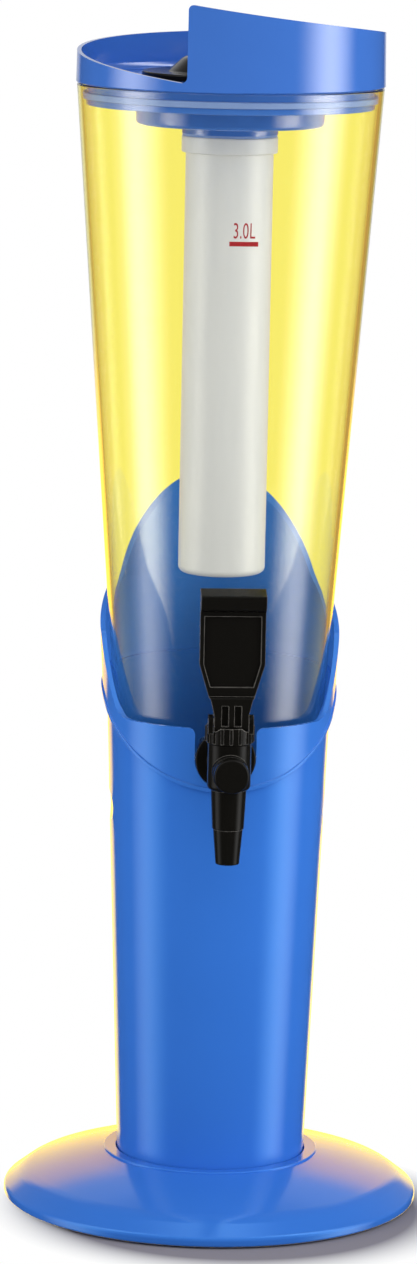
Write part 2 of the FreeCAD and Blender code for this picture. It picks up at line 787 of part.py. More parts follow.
def spiral_cutter(name, start, end):
    """Solid above the lid's spiral rim, over one stretch of its turn."""
    steps = round(value("rim_spans"))
    inner = value("lid_radius - lid_wall - lid_corner_round")
    outer = value("lid_radius + lid_wall")
    edges = []
    for radius in (inner, outer):
        points = []
        for step in range(steps + 1):
            turn = start + (end - start) * step / steps
            angle = math.radians(value("rim_step_angle") + 360 * turn)
            fall = value("rim_fall") * turn + value("rim_wave") * math.sin(2 * math.pi * turn)
            height = value("rim_top_height") - fall
            points.append(FreeCAD.Vector(radius * math.cos(angle), radius * math.sin(angle), height))
        curve = Part.BSplineCurve()
        curve.interpolate(points)
        edges.append(curve.toShape())
    lift = FreeCAD.Vector(0, 0, value("2 * rim_fall"))
    cutter = doc.addObject("Part::Feature", name)
    cutter.Shape = Part.makeRuledSurface(edges[0], edges[1]).extrude(lift)
    return cutter


def is_on_step(spot, level):
    """True at the end of the spiral rim's step that lies at a level."""
    angle = math.degrees(math.atan2(spot.y, spot.x))
    at_step = abs(angle - value("rim_step_angle")) < 0.3
    in_wall = math.hypot(spot.x, spot.y) > value("lid_radius - lid_wall - lid_draft - fine_round")
    return at_step and in_wall and abs(spot.z - level) < value("fine_round")


def make_lid():
    """Ring with a spiral rim, a floor, a skirt in the tank, a well and the tube's spigot."""
    body = new_body("lid_body")
    crown = "(rim_top_height + rim_wave + lid_corner_round)"
    under = "lid_floor_height - lid_floor"
    well_bore = "(well_radius - well_wall)"
    well_floor = "(well_height + well_wall)"
    turned(body, [
        ("lid_radius", "lid_height", "fine_round"),
        ("lid_radius - lid_draft", crown),
        ("lid_radius - lid_draft - lid_wall", crown),
        ("lid_radius - lid_wall", "lid_floor_height", "lid_corner_round"),
        (well_bore, "lid_floor_height", "edge_round"),
        (well_bore, well_floor, "root_round"),
        ("spigot_bore", well_floor, "edge_round"),
        ("spigot_bore", "spigot_height"),
        ("spigot_radius", "spigot_height"),
        ("spigot_radius", "well_height", "edge_round"),
        ("well_radius", "well_height", "root_round"),
        ("well_radius", under, "edge_round"),
        ("skirt_radius - skirt_wall", under, "edge_round"),
        ("skirt_radius - skirt_wall", "skirt_height"),
        ("skirt_radius", "skirt_height", "fine_round"),
        ("skirt_radius", "lid_height"),
    ])
    rib_sketch = new_sketch(body, "XZ_Plane")
    rib_top = "cap_height - cap_thickness"
    draw_outline(rib_sketch, [
        (f"{well_bore} - well_rib_depth", f"{well_floor} - well_wall / 2"),
        (f"{well_bore} + well_wall / 2", f"{well_floor} - well_wall / 2"),
        (f"{well_bore} + well_wall / 2", rib_top),
        (f"{well_bore} - well_rib_depth", rib_top, "fine_round"),
    ])
    rib = extruded(body, rib_sketch, "well_wall", both=True)
    repeated(body, [rib], "well_rib_count")
    high_side = spiral_cutter("rim_high_side", 0, 0.5)
    low_side = spiral_cutter("rim_low_side", 0.5, 1)
    first_cut = doc.addObject("Part::Cut", "lid_first_cut")
    first_cut.Base = body
    first_cut.Tool = high_side
    second_cut = doc.addObject("Part::Cut", "lid_second_cut")
    second_cut.Base = first_cut
    second_cut.Tool = low_side
    doc.recompute()
    step_top = value("rim_top_height")
    step_foot = step_top - value("rim_fall")
    lid = doc.addObject("Part::Fillet", "lid")
    lid.Base = second_cut
    rounds = []
    for level, size in ((step_top, "rim_step_round"), (step_foot, "rim_step_corner")):
        for name in edges_where(second_cut.Shape, lambda spot: is_on_step(spot, level)):
            rounds.append((int(name[4:]), value(size), value(size)))
    lid.Edges = rounds
    return lid


def make_lid_gasket():
    """Rubber ring round the lid's skirt, just inside the tank's wall."""
    body = new_body("lid_gasket")
    low = "lid_gasket_height"
    high = "(lid_gasket_height + lid_gasket_depth)"
    turned(body, [
        ("skirt_radius", low),
        (f"{tank_radius(low)} - tank_wall - lid_gasket_play", low, "fine_round"),
        (f"{tank_radius(high)} - tank_wall - lid_gasket_play", high, "fine_round"),
        ("skirt_radius", high),
    ])
    return body


def make_ice_tube():
    """Closed tube with a collar, and a neck that turns in the lid's spigot."""
    body = new_body("ice_tube")
    collar_top = "(spigot_height - tube_gasket_thickness)"
    neck = "(spigot_bore - tube_neck_play)"
    top = "well_height + well_wall"
    turned(body, [
        ("0", "tube_height"),
        ("tube_radius", "tube_height", "tube_foot_round"),
        ("tube_radius", "tube_collar_height"),
        ("tube_collar_radius", "tube_collar_height", "fine_round"),
        ("tube_collar_radius", collar_top, "fine_round"),
        (neck, collar_top),
        (neck, top, "fine_round"),
        (f"{neck} - tube_wall", top),
        (f"{neck} - tube_wall", "tube_height + tube_wall", "tube_foot_round - tube_wall / 2"),
        ("0", "tube_height + tube_wall"),
    ])
    return body


def make_ice_tube_gasket():
    """Flat ring between the tube's collar and the lid's spigot."""
    body = new_body("ice_tube_gasket")
    low = "spigot_height - tube_gasket_thickness"
    turned(body, [
        ("spigot_bore", low),
        ("tube_collar_radius - tube_gasket_inset", low),
        ("tube_collar_radius - tube_gasket_inset", "spigot_height"),
        ("spigot_bore", "spigot_height"),
    ])
    return body


def make_ice_cap():
    """Disc that rests on the well's ribs, with a raised middle and a centring skirt."""
    body = new_body("ice_cap")
    under = "cap_height - cap_thickness"
    bore = "cap_skirt_radius - cap_skirt_wall"
    turned(body, [
        ("0", under),
        (bore, under),
        (bore, "cap_skirt_height"),
        ("cap_skirt_radius", "cap_skirt_height", "fine_round"),
        ("cap_skirt_radius", under),
        ("cap_radius", under, "fine_round"),
        ("cap_radius", "cap_height", "edge_round"),
        ("knob_foot_radius", "cap_height", "root_round"),
        ("knob_shoulder_radius", "knob_shoulder_height", "knob_round"),
        ("knob_dish_radius", "knob_top_height", "knob_round / 2"),
        ("0", "knob_top_height - knob_dish_depth"),
    ])
    return body


# ---------------------------------------------------------------- tap


def make_tap_body():
    """Shank, flange, barrel, valve chamber and spout, bored through both ways."""
    body = new_body("tap_body", "tap_height", "tap_reach")
    turned(body, [
        ("0", "-spout_drop"),
        ("spout_end_radius", "-spout_drop", "fine_round"),
        ("spout_radius", "-chamber_drop"),
        ("chamber_radius", "-chamber_drop", "chamber_round"),
        ("chamber_radius", "chamber_rise", "fine_round"),
        ("neck_radius", "chamber_rise"),
        ("neck_radius", "neck_rise", "fine_round"),
        ("0", "neck_rise"),
    ])
    flange_back = "(tap_reach - tank_boss_outer_reach - washer_thickness)"
    flange_front = f"({flange_back} - flange_thickness)"
    turned(body, [
        ("tap_reach - shank_inner_reach", "0"),
        ("tap_reach - shank_inner_reach", "shank_radius", "fine_round"),
        (flange_back, "shank_radius"),
        (flange_back, "flange_radius"),
        (flange_front, "flange_radius", "edge_round"),
        (flange_front, "barrel_radius", "edge_round"),
        ("tap_reach - barrel_front_reach", "barrel_radius", "fine_round"),
        ("tap_reach - barrel_front_reach", "0"),
    ], plane="YZ_Plane", axis="H_Axis")
    turned(body, [
        ("0", "-spout_drop - overcut"),
        ("socket_bore", "-spout_drop - overcut"),
        ("socket_bore", "socket_depth - spout_drop"),
        ("outlet_bore", "socket_depth - spout_drop"),
        ("outlet_bore", "-seat_drop"),
        ("chamber_bore", "-seat_drop"),
        ("chamber_bore", "neck_rise + overcut"),
        ("0", "neck_rise + overcut"),
    ], kind="PartDesign::Groove")
    turned(body, [
        ("tap_reach - shank_inner_reach + overcut", "0"),
        ("tap_reach - shank_inner_reach + overcut", "barrel_bore"),
        ("tap_reach - barrel_front_reach - overcut", "barrel_bore"),
        ("tap_reach - barrel_front_reach - overcut", "0"),
    ], kind="PartDesign::Groove", plane="YZ_Plane", axis="H_Axis")
    return body


def make_tap_nozzle():
    """Tapered nozzle with a plug that fits the spout's socket."""
    body = new_body("tap_nozzle", "tap_height", "tap_reach")
    plug = "socket_bore - socket_play"
    turned(body, [
        ("outlet_bore", "-nozzle_drop"),
        ("nozzle_end_radius", "-nozzle_drop", "fine_round"),
        ("nozzle_radius", "-spout_drop"),
        (plug, "-spout_drop"),
        (plug, "socket_depth - spout_drop"),
        ("outlet_bore", "socket_depth - spout_drop"),
    ])
    return body


def make_tap_front_cap():
    """Round cap plugged into the front end of the barrel."""
    body = new_body("tap_front_cap")
    lay_forward(body)
    turned(body, [
        ("0", "barrel_front_reach - front_cap_plug"),
        ("barrel_bore - socket_play", "barrel_front_reach - front_cap_plug"),
        ("barrel_bore - socket_play", "barrel_front_reach"),
        ("front_cap_radius", "barrel_front_reach"),
        ("front_cap_radius", "barrel_front_reach + front_cap_thickness", "front_cap_round"),
        ("0", "barrel_front_reach + front_cap_thickness"),
    ])
    return body


def make_tap_bonnet():
    """Ribbed bonnet over the chamber's neck, with two ears that hold the lever's pin."""
    body = new_body("tap_bonnet", "tap_height", "tap_reach")
    neck = "neck_radius + socket_play"
    stem_bore = "stem_radius + stem_play"
    seat_top = "bonnet_floor_rise - bonnet_floor"
    turned(body, [
        (neck, "chamber_rise"),
        ("bonnet_radius", "chamber_rise", "fine_round"),
        ("bonnet_radius", "bonnet_rise", "edge_round"),
        (stem_bore, "bonnet_rise"),
        (stem_bore, seat_top),
        (neck, seat_top, "edge_round"),
    ])
    rib_sketch = new_sketch(body, "XY_Plane")
    bind(rib_sketch, "AttachmentOffset.Base.z", "chamber_rise + bonnet_rib_depth")
    draw_circle(rib_sketch, "bonnet_radius + bonnet_rib_depth - bonnet_rib_width / 2", "0",
                "bonnet_rib_width / 2")
    rib = extruded(body, rib_sketch, "bonnet_rise - chamber_rise - 3 * bonnet_rib_depth")
    repeated(body, [rib], "bonnet_rib_count")
    ear_sketch = new_sketch(body, "YZ_Plane")
    ear_top = "pivot_rise + ear_radius"
    ear_foot = "bonnet_floor_rise"
    draw_outline(ear_sketch, [
        ("-pivot_offset - ear_radius", ear_foot),
        ("ear_radius - pivot_offset", ear_foot),
        ("ear_radius - pivot_offset", ear_top, "ear_radius - round_gap"),
        ("-pivot_offset - ear_radius", ear_top, "ear_radius - round_gap"),
    ])
    extruded(body, ear_sketch, "ear_gap + 2 * ear_thickness", both=True)
    # The gap between the ears follows the hub below the pin and leaves a low lip in front of it.
    hub_front = "-(pivot_offset + lever_hub_radius + hub_play)"
    gap_sketch = new_sketch(body, "YZ_Plane")
    draw_outline(gap_sketch, [
        (hub_front, "bonnet_floor_rise", "lever_hub_radius + hub_play"),
        ("2 * bonnet_radius", "bonnet_floor_rise"),
        ("2 * bonnet_radius", "2 * pivot_rise"),
        (hub_front, "2 * pivot_rise"),
    ])
    extruded(body, gap_sketch, "ear_gap", "PartDesign::Pocket", both=True)
    lip_sketch = new_sketch(body, "YZ_Plane")
    draw_outline(lip_sketch, [
        ("-2 * bonnet_radius", "bonnet_rise - bonnet_lip_drop"),
        ("-pivot_offset", "bonnet_rise - bonnet_lip_drop"),
        ("-pivot_offset", "2 * pivot_rise"),
        ("-2 * bonnet_radius", "2 * pivot_rise"),
    ])
    extruded(body, lip_sketch, "ear_gap", "PartDesign::Pocket", both=True)
    bore_sketch = new_sketch(body, "YZ_Plane")
    draw_circle(bore_sketch, "-pivot_offset", "pivot_rise", "pin_radius")
    extruded(body, bore_sketch, "4 * bonnet_radius", "PartDesign::Pocket", both=True)
    return body


def make_tap_lever():
    """Paddle with a forward lip, on a forked hub that lifts the stem's head."""
    body = new_body("tap_lever", "tap_height + pivot_rise", "tap_reach + pivot_offset")
    side = new_sketch(body, "YZ_Plane")
    front = "-lever_front"
    back = "(lever_thickness - lever_front)"
    lip_front = "-(lever_front + lip_depth)"
    lip_foot = "lever_rise - lip_slope - lip_height"
    hub = "lever_hub_radius"
    draw_outline(side, [
        (f"-{hub}", f"-{hub}", f"{hub} - fork_gap"),
        (hub, f"-{hub}", "root_round"),
        (hub, "hub_back_rise", "lever_round"),
        (back, "blade_back_rise", "shoulder_round"),
        (back, "lever_rise", "lever_round"),
        (lip_front, "lever_rise - lip_slope", "lever_round"),
        (f"{lip_front} + lip_lean", lip_foot, "lever_round"),
        (front, f"{lip_foot} - lip_depth / 3", "root_round"),
        (front, "blade_front_rise"),
        (f"-{hub}", "blade_front_rise - ledge_slope", "fine_round"),
    ])
    extruded(body, side, "lever_width", both=True)
    trim = new_sketch(body, "XZ_Plane")
    beyond = "lever_width"
    draw_outline(trim, [
        ("lever_neck_width / 2", "-2 * lever_hub_radius"),
        ("lever_neck_width / 2", "lever_neck_rise"),
        ("lever_throat_width / 2", "lever_throat_rise"),
        ("lever_waist_width / 2", "lever_waist_rise"),
        ("lever_width / 2", "lever_shoulder_rise", "shoulder_round"),
        ("lever_width / 2", "2 * lever_rise"),
        (beyond, "2 * lever_rise"),
        (beyond, "-2 * lever_hub_radius"),
    ])
    first_trim = extruded(body, trim, kind="PartDesign::Pocket", both=True)
    mirror = body.newObject("PartDesign::Mirrored", "Mirrored")
    mirror.Originals = [first_trim]
    mirror.MirrorPlane = (origin_part(body, "YZ_Plane"), [""])
    body.Tip = mirror
    panel = new_sketch(body, "XZ_Plane")
    panel_low = "(lever_waist_rise + panel_foot)"
    panel_high = f"({lip_foot} - lip_depth / 3 - panel_border)"
    flare = "(lever_width - lever_waist_width) / 2 / (lever_shoulder_rise - lever_waist_rise)"
    panel_top_half = "(lever_width / 2 - panel_border)"
    panel_low_half = f"(lever_waist_width / 2 - panel_border + {flare} * panel_foot)"
    bind(panel, "AttachmentOffset.Base.z", "lever_front - panel_depth")
    draw_outline(panel, [
        (f"-{panel_low_half}", panel_low),
        (panel_low_half, panel_low),
        (panel_top_half, "lever_shoulder_rise", "shoulder_round"),
        (panel_top_half, panel_high),
        (f"-{panel_top_half}", panel_high),
        (f"-{panel_top_half}", "lever_shoulder_rise", "shoulder_round"),
    ])
    extruded(body, panel, "2 * panel_depth", "PartDesign::Pocket", backward=True)
    pocket = new_sketch(body, "XZ_Plane")
    bind(pocket, "AttachmentOffset.Base.z", f"{hub} - pocket_depth")
    for side_sign in ("", "-"):
        near = f"{side_sign}pocket_rib / 2"
        far = f"{side_sign}(pocket_rib / 2 + pocket_width)"
        draw_outline(pocket, [
            (near, "-pocket_width / 2"),
            (far, "-pocket_width / 2"),
            (far, "lever_throat_rise - 2 * pocket_depth"),
            (near, "lever_throat_rise - 2 * pocket_depth"),
        ])
    extruded(body, pocket, "2 * pocket_depth", "PartDesign::Pocket", backward=True)
    head_edge = "pivot_offset - stem_head_radius - 2 * fork_gap"
    shaft_edge = "pivot_offset - stem_head_radius"
    prong_top = "-(stem_head_drop + fork_gap)"
    rear = "2 * lever_hub_radius"
    opening = new_sketch(body, "YZ_Plane")
    draw_outline(opening, [
        (head_edge, prong_top),
        (rear, prong_top),
        (rear, "fork_rise"),
        (head_edge, "fork_rise"),
    ])
    extruded(body, opening, "fork_opening", "PartDesign::Pocket", both=True)
    slot = new_sketch(body, "YZ_Plane")
    draw_outline(slot, [
        ("-stem_radius", "-2 * lever_hub_radius"),
        (rear, "-2 * lever_hub_radius"),
        (rear, "fork_rise"),
        (shaft_edge, "fork_rise"),
        (shaft_edge, "-pin_radius - pin_wall"),
        ("-stem_radius", "-pin_radius - pin_wall"),
    ])
    extruded(body, slot, "fork_slot", "PartDesign::Pocket", both=True)
    bore = new_sketch(body, "YZ_Plane")
    draw_circle(bore, "0", "0", "pin_radius + pin_play")
    extruded(body, bore, kind="PartDesign::Pocket", both=True)
    return body


def make_tap_pin():
    """Pin across the bonnet's ears that the lever turns on."""
    body = new_body("tap_pin", "tap_height + pivot_rise", "tap_reach + pivot_offset")
    sketch = new_sketch(body, "YZ_Plane")
    draw_circle(sketch, "0", "0", "pin_radius")
    extruded(body, sketch, "ear_gap + 2 * ear_thickness", both=True)
    return body


def make_tap_stem():
    """Stem with a head over the lever's fork and a flange under the spring."""
    body = new_body("tap_stem", "tap_height", "tap_reach")
    flange_foot = "-plunger_top_drop"
    flange_top = "stem_flange_thickness - plunger_top_drop"
    head_foot = "pivot_rise - stem_head_drop"
    turned(body, [
        ("0", "-stem_drop"),
        ("stem_radius", "-stem_drop"),
        ("stem_radius", flange_foot),
        ("stem_flange_radius", flange_foot),
        ("stem_flange_radius", flange_top),
        ("stem_radius", flange_top),
        ("stem_radius", head_foot),
        ("stem_head_radius", head_foot),
        ("stem_head_radius", f"{head_foot} + stem_head_thickness", "fine_round"),
        ("0", f"{head_foot} + stem_head_thickness"),
    ])
    return body


def make_tap_plunger():
    """Rubber plug on the stem's foot that closes the outlet."""
    body = new_body("tap_plunger", "tap_height", "tap_reach")
    turned(body, [
        ("0", "plunger_gap - seat_drop"),
        ("plunger_radius", "plunger_gap - seat_drop", "plunger_round"),
        ("plunger_radius", "-plunger_top_drop", "fine_round"),
        ("stem_radius", "-plunger_top_drop"),
        ("stem_radius", "-stem_drop"),
        ("0", "-stem_drop"),
    ])
    return body


def make_tap_spring():
    """Coil spring between the stem's flange and the bonnet."""
    body = new_body("tap_spring", "tap_height", "tap_reach")
    sketch = new_sketch(body, "XZ_Plane")
    start = "stem_flange_thickness - plunger_top_drop + spring_wire + spring_play"
    draw_circle(sketch, "spring_radius", start, "spring_wire")
    coil = body.newObject("PartDesign::AdditiveHelix", "Coil")
    coil.Profile = sketch
    coil.ReferenceAxis = (sketch, ["V_Axis"])
    coil.Mode = "height-turns-angle"
    bind(coil, "Height", f"bonnet_floor_rise - bonnet_floor - spring_play - spring_wire - ({start})")
    bind(coil, "Turns", "spring_turns")
    return body


def make_tap_stem_seal():
    """Ring seal round the stem, under the bonnet's top."""
    body = new_body("tap_stem_seal", "tap_height", "tap_reach")
    sketch = new_sketch(body, "XZ_Plane")
    level = "bonnet_floor_rise - bonnet_floor - seal_radius - seal_play"
    draw_circle(sketch, "stem_radius + seal_play + seal_radius", level, "seal_radius")
    ring = body.newObject("PartDesign::Revolution", "Ring")
    ring.Profile = sketch
    ring.ReferenceAxis = (sketch, ["V_Axis"])
    ring.Angle = 360
    return body


def make_washer(label, start):
    """Rubber washer on the shank, with its face nearest the tower's axis at a reach."""
    body = new_body(label)
    lay_forward(body)
    turned(body, [
        ("shank_radius + nut_play", start),
        ("washer_radius", start, "fine_round"),
        ("washer_radius", f"{start} + washer_thickness", "fine_round"),
        ("shank_radius + nut_play", f"{start} + washer_thickness"),
    ])
    return body


def make_tap_washer_outer():
    """Washer between the tank's boss and the tap's flange."""
    return make_washer("tap_washer_outer", "tank_boss_outer_reach")


def make_tap_washer_inner():
    """Washer between the tank's boss and the nut."""
    return make_washer("tap_washer_inner", "(tank_boss_inner_reach - washer_thickness)")


def make_tap_nut():
    """Hexagonal nut on the shank, inside the tank."""
    body = new_body("tap_nut")
    lay_forward(body)
    sketch = new_sketch(body, "XY_Plane")
    bind(sketch, "AttachmentOffset.Base.z", "tank_boss_inner_reach - washer_thickness - nut_thickness")
    corners = [(f"nut_radius * cos({turn})", f"nut_radius * sin({turn})", "edge_round")
               for turn in range(30, 390, 60)]
    draw_outline(sketch, corners)
    draw_circle(sketch, "0", "0", "shank_radius + nut_play")
    extruded(body, sketch, "nut_thickness")
    return body


SUBPARTS = [
    make_base_foot,
    make_foot_pads,
    make_column,
    make_column_screws,
    make_tank_seat,
    make_tank_holder,
    make_tank,
    make_lid,
    make_lid_gasket,
    make_ice_tube,
    make_ice_tube_gasket,
    make_ice_cap,
    make_tap_body,
    make_tap_nozzle,
    make_tap_front_cap,
    make_tap_bonnet,
    make_tap_lever,
    make_tap_pin,
    make_tap_stem,
    make_tap_plunger,
    make_tap_spring,
    make_tap_stem_seal,
    make_tap_washer_outer,
    make_tap_washer_inner,
    make_tap_nut,
]

# ---------------------------------------------------------------- build, test and write

subparts = [make() for make in SUBPARTS]
doc.recompute()
for item in doc.Objects:
    if "Invalid" in item.State or "Error" in item.State:
        raise RuntimeError(f"{item.Label} failed to build")
os.makedirs("parts", exist_ok=True)
for item in subparts:
    shape = item.Shape
    if shape.isNull() or not shape.isValid() or not shape.Solids:
        raise RuntimeError(f"{item.Label} has no valid solid")
    shape.exportStep(f"parts/{item.Label}.step")
    print(f"{item.Label}: {len(shape.Solids)} solid, {shape.Volume / 1000:.2f} cm3, "
          f"{len(shape.Faces)} faces")
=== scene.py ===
"""Drink tower dispenser: a moulded blue stand, a clear lift-out tank with an ice tube, and a lever tap.

Metres, in the frame's own axes: +Z is up, -Y points towards the tap, and a reach is a distance in
front of the tower's axis. The sections follow the order in which the tower is put together.
"""
import math

import bmesh
import bpy
from mathutils import Matrix, Quaternion, Vector


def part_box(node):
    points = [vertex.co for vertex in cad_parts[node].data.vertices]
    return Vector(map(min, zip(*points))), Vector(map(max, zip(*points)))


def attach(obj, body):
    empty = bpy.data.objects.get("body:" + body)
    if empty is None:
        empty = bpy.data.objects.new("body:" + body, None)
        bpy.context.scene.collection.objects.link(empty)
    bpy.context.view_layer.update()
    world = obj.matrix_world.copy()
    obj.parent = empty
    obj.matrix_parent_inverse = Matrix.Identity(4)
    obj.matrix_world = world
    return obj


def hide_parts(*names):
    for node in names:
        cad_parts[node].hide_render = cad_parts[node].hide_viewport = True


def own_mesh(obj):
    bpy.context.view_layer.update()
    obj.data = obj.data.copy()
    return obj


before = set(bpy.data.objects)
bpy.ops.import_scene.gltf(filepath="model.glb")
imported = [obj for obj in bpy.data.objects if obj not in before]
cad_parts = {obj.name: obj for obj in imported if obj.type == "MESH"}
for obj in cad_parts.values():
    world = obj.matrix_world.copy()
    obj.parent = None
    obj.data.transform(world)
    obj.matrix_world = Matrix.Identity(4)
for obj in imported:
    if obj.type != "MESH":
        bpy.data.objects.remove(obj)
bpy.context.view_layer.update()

MM = 0.001

# ---------------------------------------------------------------- foot
# The domed foot is one injection-moulded ABS shell, ribbed underneath. It comes out of a polished
# mould, so it is glossy, with the slight waviness that thin mouldings have.


def colour(text):
    """Linear RGBA of an sRGB hex colour."""
    parts = [int(text[i:i + 2], 16) / 255 for i in (1, 3, 5)]
    return (*[c / 12.92 if c <= 0.04045 else ((c + 0.055) / 1.055) ** 2.4 for c in parts], 1)


def add(tree, kind, inputs=None, **settings):
    """Node with its settings, and its inputs by name or number, each a value or a socket to link.

    A Mix node's factor, colours and result are its inputs 0, 6 and 7 and its output 2.
    """
    node = tree.nodes.new(kind)
    for name, setting in settings.items():
        setattr(node, name, setting)
    for name, given in (inputs or {}).items():
        if isinstance(given, bpy.types.NodeSocket):
            tree.links.new(given, node.inputs[name])
        else:
            node.inputs[name].default_value = given
    return node


def new_material(name):
    """Empty node material, with its tree and its Object coordinates."""
    material = bpy.data.materials.new(name)
    material.use_nodes = True
    tree = material.node_tree
    tree.nodes.clear()
    return material, tree, add(tree, "ShaderNodeTexCoord").outputs["Object"]


def noise(tree, place, size, detail):
    """Value of a soft noise with patches of about a given size."""
    return add(tree, "ShaderNodeTexNoise", {"Vector": place, "Scale": 1 / size,
                                            "Detail": detail}).outputs["Fac"]


def mixed(tree, share, first, second):
    """Colour between two hex colours, by a share that runs from 0 to 1."""
    return add(tree, "ShaderNodeMix", {0: share, 6: colour(first), 7: colour(second)},
               data_type="RGBA").outputs[2]


def between(tree, value, low, high):
    """Number between two limits, by a value that runs from 0 to 1."""
    return add(tree, "ShaderNodeMapRange", {"Value": value, "To Min": low, "To Max": high}).outputs["Result"]


def bumped(tree, height, depth, strength):
    """Normal of a skin that is raised by a height of up to a depth."""
    return add(tree, "ShaderNodeBump", {"Height": height, "Distance": depth,
                                        "Strength": strength}).outputs["Normal"]


def surfaced(material, tree, shader):
    """The material, with its finished shader as its surface."""
    add(tree, "ShaderNodeOutputMaterial", {"Surface": shader.outputs[0]})
    return material


def finish_nodes(material, *names):
    """Gives CAD nodes a material."""
    for name in names:
        for material_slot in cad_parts[name].material_slots:
            material_slot.material = material


def moulded_abs(name, tone, deep, glint, roughness, level=0.5):
    """Glossy ABS: its colour drifts slightly with the wall, and its skin waves by microns.

    The glint tints its reflections, and the level sets how strong they are.
    """
    material, tree, place = new_material(name)
    drift = noise(tree, place, 90 * MM, 2)
    # Flow marks, drawn about three times as coarse as the real ones so that they show.
    flow = noise(tree, place, 6 * MM, 3)
    shader = add(tree, "ShaderNodeBsdfPrincipled", {
        "Base Color": mixed(tree, drift, deep, tone),
        "Roughness": between(tree, flow, roughness * 0.8, roughness * 1.3),
        "Normal": bumped(tree, flow, 0.012 * MM, 0.5),
        "IOR": 1.54, "Specular Tint": colour(glint), "Specular IOR Level": level,
    })
    return surfaced(material, tree, shader)


blue_abs = moulded_abs("blue moulded ABS", "#3672CE", "#316BC4", "#5090B8", 0.12)
finish_nodes(blue_abs, "base_foot")

# ---------------------------------------------------------------- foot pads
# Six turned rubber pads sit in the foot's bosses. Each has rounded edges and two ring grooves
# underneath that grip the table.


def lathe(name, profile, steps):
    """Closed turned mesh round Z from (radius, height) points that start and end on the axis."""
    mesh = bpy.data.meshes.new(name)
    bm = bmesh.new()
    points = [bm.verts.new((radius, 0, height)) for radius, height in profile]
    edges = [bm.edges.new(pair) for pair in zip(points, points[1:])]
    bmesh.ops.spin(bm, geom=points + edges, cent=(0, 0, 0), axis=(0, 0, 1), angle=2 * math.pi,
                   steps=steps)
    bmesh.ops.remove_doubles(bm, verts=bm.verts, dist=1e-6)
    bmesh.ops.recalc_face_normals(bm, faces=bm.faces)
    bm.to_mesh(mesh)
    bm.free()
    return mesh


def new_object(name, mesh, material, body):
    """Object for a finished mesh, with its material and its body."""
    piece = bpy.data.objects.new(name, mesh)
    bpy.context.scene.collection.objects.link(piece)
    mesh.materials.clear()
    mesh.materials.append(material)
    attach(piece, body)
    return piece


def from_tree(name, tree, sizes):
    """Plain mesh that a Geometry Nodes tree makes with its named sizes."""
    holder = bpy.data.objects.new(name, bpy.data.meshes.new(name + "_seed"))
    bpy.context.scene.collection.objects.link(holder)
    modifier = holder.modifiers.new(name, "NODES")
    modifier.node_group = tree
    for item in tree.interface.items_tree:
        if item.item_type == "SOCKET" and item.name in sizes:
            modifier[item.identifier] = sizes[item.name]
    seen = holder.evaluated_get(bpy.context.evaluated_depsgraph_get())
    mesh = bpy.data.meshes.new_from_object(seen)
    mesh.name = name
    bpy.data.objects.remove(holder)
    return mesh


def new_tree(name, sizes):
    """Geometry Nodes tree with named inputs, its input node and its realized, painted output."""
    tree = bpy.data.node_groups.new(name, "GeometryNodeTree")
    for label, kind in sizes.items():
        tree.interface.new_socket(label, in_out="INPUT", socket_type=kind)
    tree.interface.new_socket("Geometry", in_out="OUTPUT", socket_type="NodeSocketGeometry")
    given = add(tree, "NodeGroupInput").outputs
    painted = add(tree, "GeometryNodeSetMaterial", {"Material": given["Material"]})
    real = add(tree, "GeometryNodeRealizeInstances")
    tree.links.new(real.outputs["Geometry"], painted.inputs["Geometry"])
    add(tree, "NodeGroupOutput", {"Geometry": painted.outputs["Geometry"]})
    return tree, given, real.inputs["Geometry"]


def ring_tree():
    """Copies of one piece, evenly spaced round the tower's axis at a radius and a height."""
    tree, given, made = new_tree("ring of copies", {
        "Piece": "NodeSocketObject", "Count": "NodeSocketInt", "Ring Radius": "NodeSocketFloat",
        "Height": "NodeSocketFloat", "Material": "NodeSocketMaterial",
    })
    ring = add(tree, "GeometryNodeMeshCircle", {"Vertices": given["Count"], "Radius": given["Ring Radius"]})
    lift = add(tree, "ShaderNodeCombineXYZ", {"Z": given["Height"]})
    level = add(tree, "GeometryNodeSetPosition", {"Geometry": ring.outputs["Mesh"],
                                                  "Offset": lift.outputs[0]})
    piece = add(tree, "GeometryNodeObjectInfo", {"Object": given["Piece"]})
    copies = add(tree, "GeometryNodeInstanceOnPoints", {"Points": level.outputs["Geometry"],
                                                        "Instance": piece.outputs["Geometry"]})
    tree.links.new(copies.outputs["Instances"], made)
    return tree


def ring_of(name, mesh, count, ring_radius, height, material):
    """One mesh with copies of a turned piece in a ring."""
    seed = bpy.data.objects.new(name + "_one", mesh)
    bpy.context.scene.collection.objects.link(seed)
    made = from_tree(name, ring_tree(), {"Piece": seed, "Count": count, "Ring Radius": ring_radius,
                                         "Height": height, "Material": material})
    bpy.data.objects.remove(seed)
    return made


def moulded_rubber(name, tone, bloom, roughness):
    """Black rubber: matt, with a fine bloom and a soft grain from its mould."""
    material, tree, place = new_material(name)
    shader = add(tree, "ShaderNodeBsdfPrincipled", {
        "Base Color": mixed(tree, noise(tree, place, 9 * MM, 4), tone, bloom),
        "Roughness": roughness,
        "Normal": bumped(tree, noise(tree, place, 0.8 * MM, 2), 0.03 * MM, 0.4),
        "IOR": 1.52,
    })
    return surfaced(material, tree, shader)


